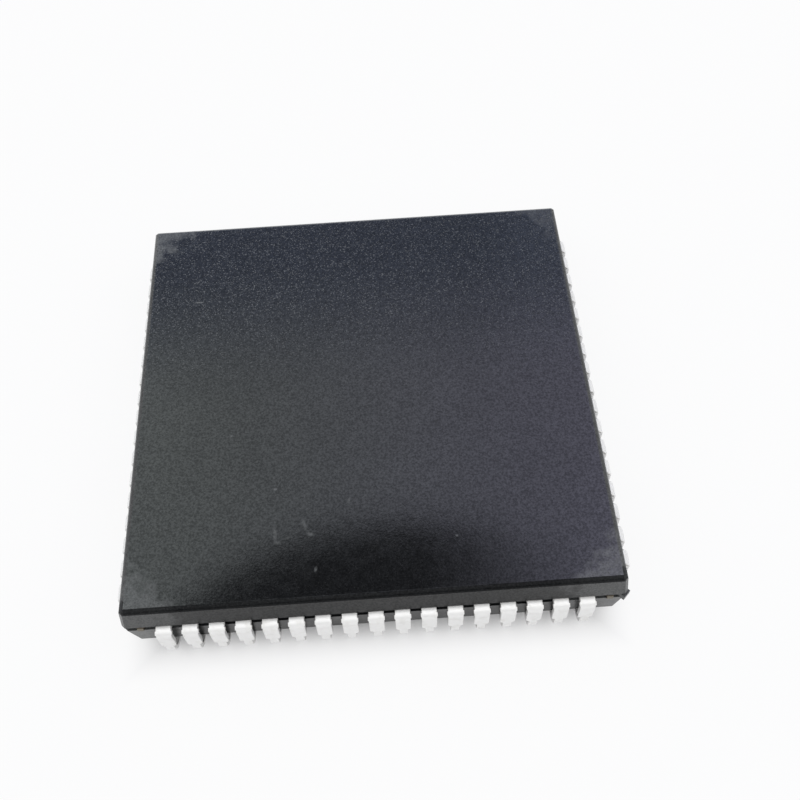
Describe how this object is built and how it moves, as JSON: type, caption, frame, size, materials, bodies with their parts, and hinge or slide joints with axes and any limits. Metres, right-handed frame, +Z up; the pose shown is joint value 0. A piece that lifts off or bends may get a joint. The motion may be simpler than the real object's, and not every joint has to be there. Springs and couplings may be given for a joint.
{
  "type": "plastic leaded chip carrier",
  "caption": "Square plastic leaded chip carrier: a dark moulded body with J-bent tinned leads on every side, to be soldered or socketed on a circuit board.",
  "frame": {"origin": "on the seating plane that the feet of the leads stand on, under the middle of the body", "axes": "+Z up, out of the top face; -Y towards the side at the front of the picture; +X to the right as seen from there"},
  "size_m": [0.0252, 0.0252, 0.0044],
  "materials": {
    "moulding_compound": "fine matte texture from the mould, black epoxy",
    "tinned_lead": "matte tin plate",
    "copper_frame": "bare copper alloy, cut ends",
    "die_adhesive": "silver-filled epoxy",
    "silicon": "polished",
    "gold_wire": "bright drawn wire"
  },
  "bodies": {
    "root": {"body": "moulding_compound", "die_paddle": "copper_frame", "die_attach": "die_adhesive", "die": "silicon", "leads_front": "tinned_lead", "leads_right": "tinned_lead", "leads_rear": "tinned_lead", "leads_left": "tinned_lead", "wires_front": "gold_wire", "wires_right": "gold_wire", "wires_rear": "gold_wire", "wires_left": "gold_wire"}
  },
  "joints": []
}
